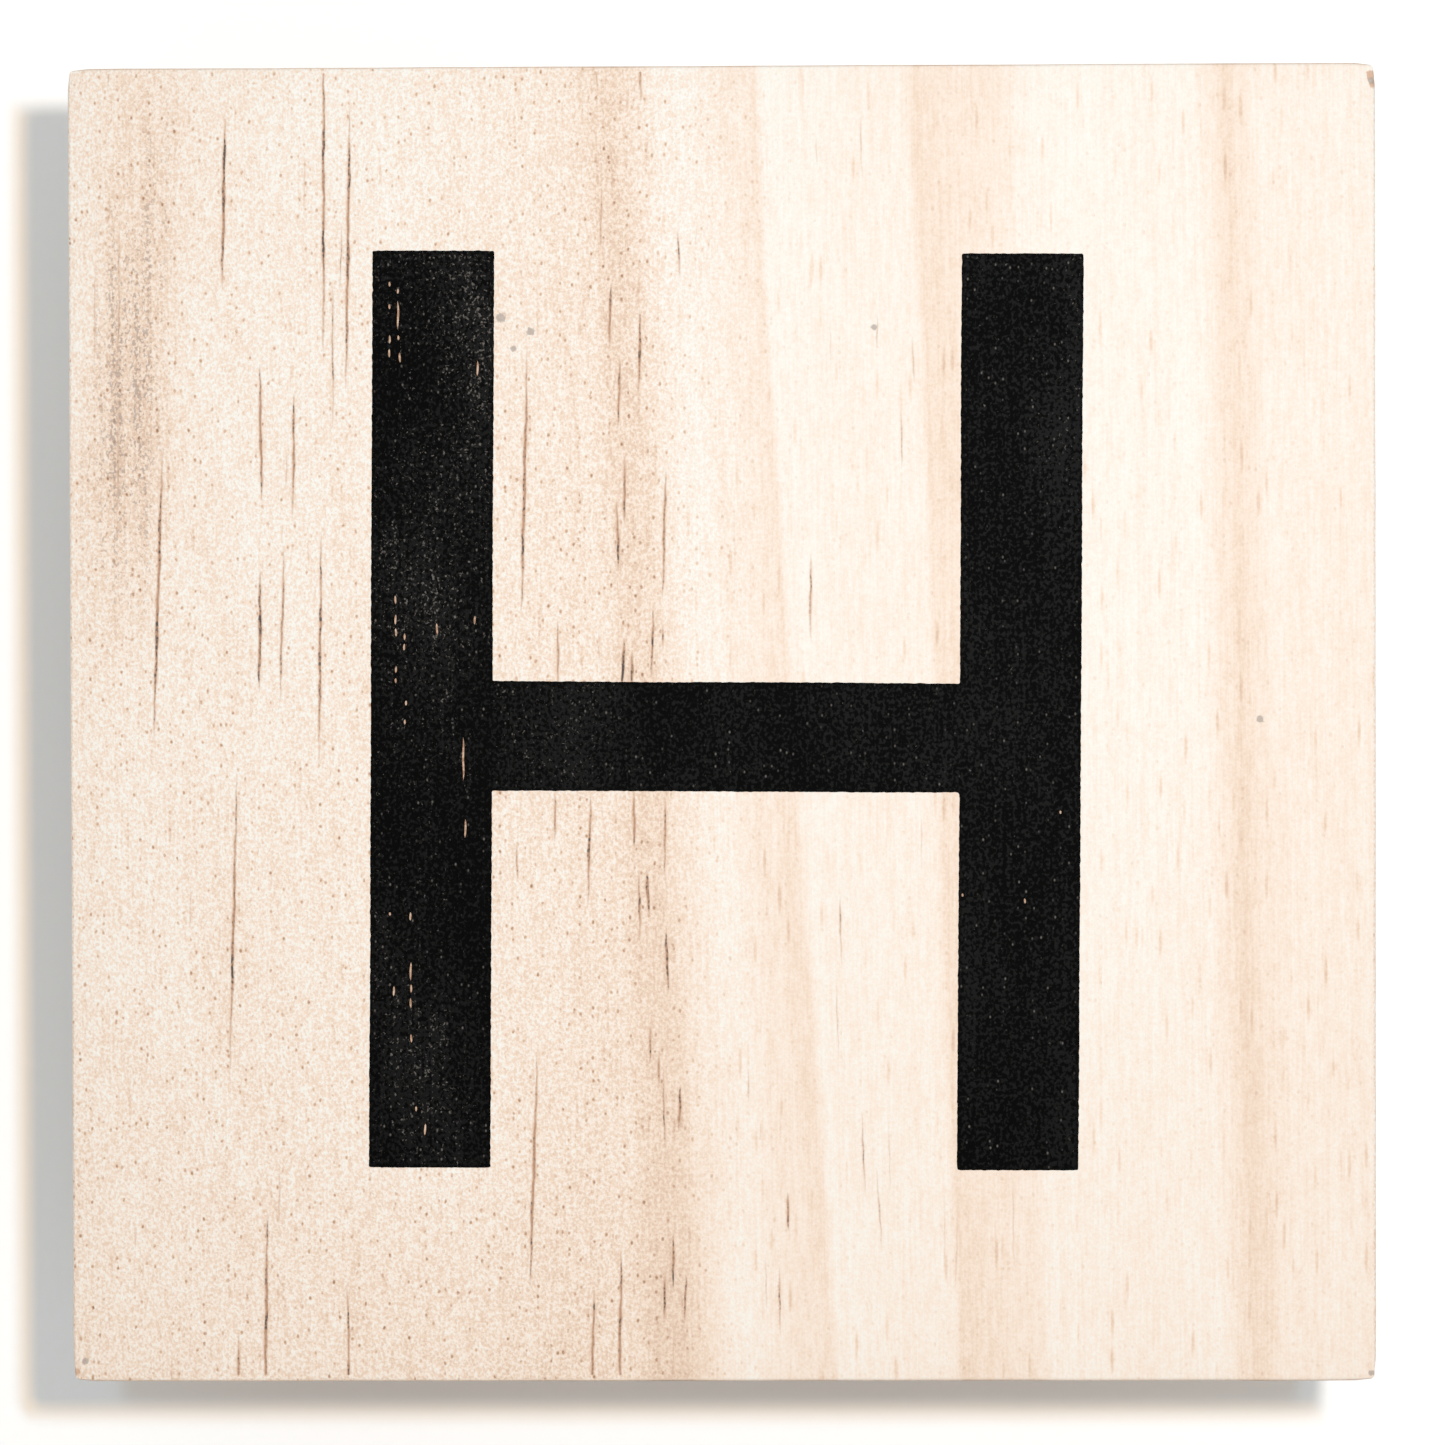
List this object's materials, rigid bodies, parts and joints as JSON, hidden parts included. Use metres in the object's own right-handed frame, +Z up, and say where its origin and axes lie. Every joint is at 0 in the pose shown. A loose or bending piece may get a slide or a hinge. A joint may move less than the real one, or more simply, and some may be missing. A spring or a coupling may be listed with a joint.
{
  "type": "rubber stamp",
  "caption": "Wood-mounted rubber letter stamp: a square pine block with finger grooves and a printed index letter on top, over a foam cushion and a raised rubber die.",
  "frame": {"origin": "on the plane of the printing face, under the middle of the wooden block, which is the middle of the underside of the object's box", "axes": "+X across the wood's grain, to the right when the index letter is read; +Y along the grain, towards the letter's top; +Z up, from the printing face to the index face"},
  "size_m": [0.076, 0.0762, 0.025],
  "materials": {
    "pine": "sanded bare pine, matt",
    "black_ink": "matt black pad-printed ink, soaked into the grain",
    "adhesive_film": "milky double-sided mounting film",
    "cushion_foam": "grey closed-cell foam with knife-cut edges",
    "die_rubber": "red-brown moulded stamp rubber, slightly glossy"
  },
  "bodies": {
    "block": {"wood_block": "pine", "index_print": "black_ink", "block_adhesive": "adhesive_film", "foam_cushion": "cushion_foam"},
    "die": {"die_adhesive": "adhesive_film", "rubber_die": "die_rubber"}
  },
  "joints": [
    {"name": "cushion_squeeze", "type": "slide", "parent": "block", "child": "die", "axis": [0, 0, 1], "range_m": [0, 0.001], "stiffness_N_per_m": 30000, "springref_m": -0.00005, "deforming": ["foam_cushion"]}
  ]
}
